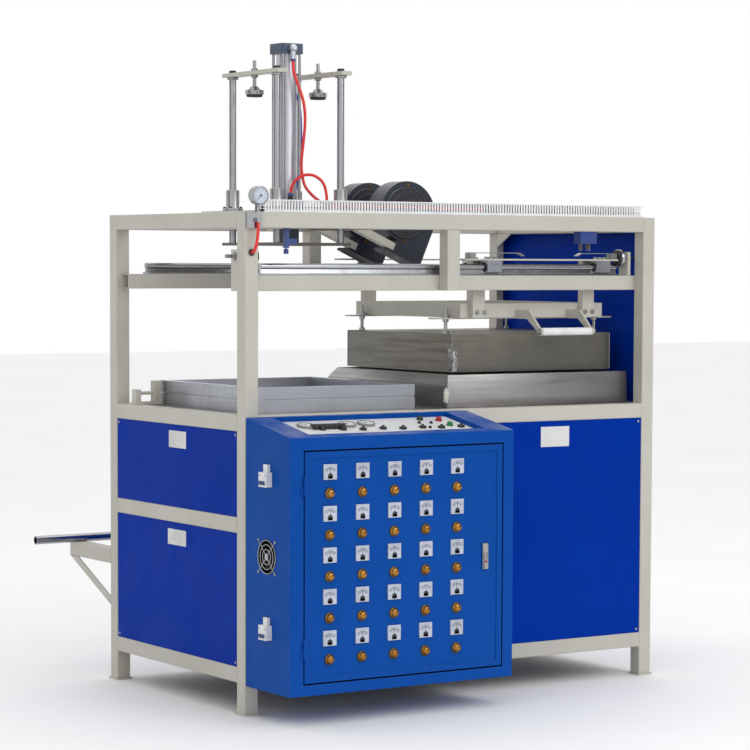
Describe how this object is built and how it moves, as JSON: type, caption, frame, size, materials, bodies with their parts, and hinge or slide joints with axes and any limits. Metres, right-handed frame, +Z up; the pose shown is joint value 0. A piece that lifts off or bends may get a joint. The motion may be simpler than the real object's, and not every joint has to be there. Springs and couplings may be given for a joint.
{
  "type": "blister forming machine",
  "caption": "Vacuum blister forming machine: tube frame, forming station under an air press, oven that rolls on rails, hinged control cabinet and a film roll pipe.",
  "frame": {"origin": "on the floor under the middle of the front left post, at the underside of its foot plate", "axes": "+Z up, +X to the right along the front of the frame, +Y from the front to the back"},
  "size_m": [1.946, 1.513, 2.172],
  "materials": {
    "frame_paint": "warm grey paint, semi gloss",
    "panel_blue": "blue powder coat",
    "cabinet_blue": "blue paint, semi gloss",
    "sheet_steel": "rolled sheet, heat stained",
    "profile_aluminium": "extruded, unpolished",
    "bright_steel": "ground and plated",
    "zinc_steel": "zinc plated",
    "rubber_black": "moulded rubber",
    "slate_paint": "dark slate anodised",
    "blower_paint": "dark navy paint",
    "white_plastic": "white moulded plastic",
    "blue_plastic": "blue moulded plastic",
    "black_plastic": "black moulded plastic",
    "gold_metal": "gold coloured cap",
    "ceramic_tile": "unglazed ceramic",
    "hose_red": "red air hose",
    "hose_blue": "blue air hose"
  },
  "bodies": {
    "machine": {"corner_posts": "frame_paint", "top_rails": "frame_paint", "table_rails": "frame_paint", "lower_rails": "frame_paint", "cross_rails": "frame_paint", "carriage_beams": "frame_paint", "hanger_posts": "frame_paint", "lower_stiles": "frame_paint", "side_panels": "panel_blue", "oven_side_panel": "panel_blue", "front_panel": "panel_blue", "rear_panels": "panel_blue", "table_deck": "sheet_steel", "forming_frame": "profile_aluminium", "forming_bed": "profile_aluminium", "oven_tray": "sheet_steel", "linear_rails": "bright_steel", "stop_plates": "frame_paint", "stop_bumpers": "rubber_black", "cylinder_plate": "frame_paint", "guide_bushings": "zinc_steel", "cylinder_barrel": "bright_steel", "cylinder_caps": "slate_paint", "blowers": "blower_paint", "blower_bars": "frame_paint", "cabinet_shell": "cabinet_blue", "instrument_panel": "white_plastic", "circuit_breakers": "white_plastic", "fan_frame": "black_plastic", "fan_guard": "bright_steel", "pipe_brackets": "frame_paint", "wiring_duct": "white_plastic", "vacuum_gauge": "bright_steel", "hand_valve": "blue_plastic", "air_unit": "blue_plastic", "frame_adjuster": "zinc_steel", "valve_block": "zinc_steel", "hose_fittings": "black_plastic", "hose_long": "hose_red", "hose_loop": "hose_red", "hose_blue": "hose_blue", "gauge_hose": "hose_red"},
    "oven": {"bearing_blocks": "profile_aluminium", "carriage_bars": "frame_paint", "hanging_frame": "frame_paint", "hanging_rods": "zinc_steel", "oven_box": "sheet_steel", "heater_bank": "ceramic_tile", "handle_grip": "white_plastic", "spring_arms": "zinc_steel"},
    "press": {"press_rods": "bright_steel", "top_bars": "frame_paint", "press_bumpers": "rubber_black", "platen": "sheet_steel", "coupling_block": "slate_paint", "rod_collars": "zinc_steel"},
    "door": {"door_leaf": "cabinet_blue", "panel_meters": "white_plastic", "knobs": "gold_metal", "door_lock": "zinc_steel"},
    "film_pipe": {"film_pipe": "bright_steel"},
    "fan_rotor": {"fan_rotor": "black_plastic"}
  },
  "joints": [
    {"name": "oven_slide", "type": "slide", "parent": "machine", "child": "oven", "axis": [1, 0, 0], "range_m": [-0.792, 0]},
    {"name": "press_slide", "type": "slide", "parent": "machine", "child": "press", "axis": [0, 0, -1], "range_m": [0, 0.364]},
    {"name": "door_hinge", "type": "hinge", "parent": "machine", "child": "door", "pos_m": [0.0305, -0.301, 0.49], "axis": [0, 0, -1], "range_deg": [0, 110]},
    {"name": "film_pipe_turn", "type": "hinge", "parent": "machine", "child": "film_pipe", "pos_m": [0.8, 1.18, 0.462], "axis": [1, 0, 0], "continuous": true},
    {"name": "fan_turn", "type": "hinge", "parent": "machine", "child": "fan_rotor", "pos_m": [-0.0025, -0.155, 0.522], "axis": [1, 0, 0], "continuous": true}
  ]
}
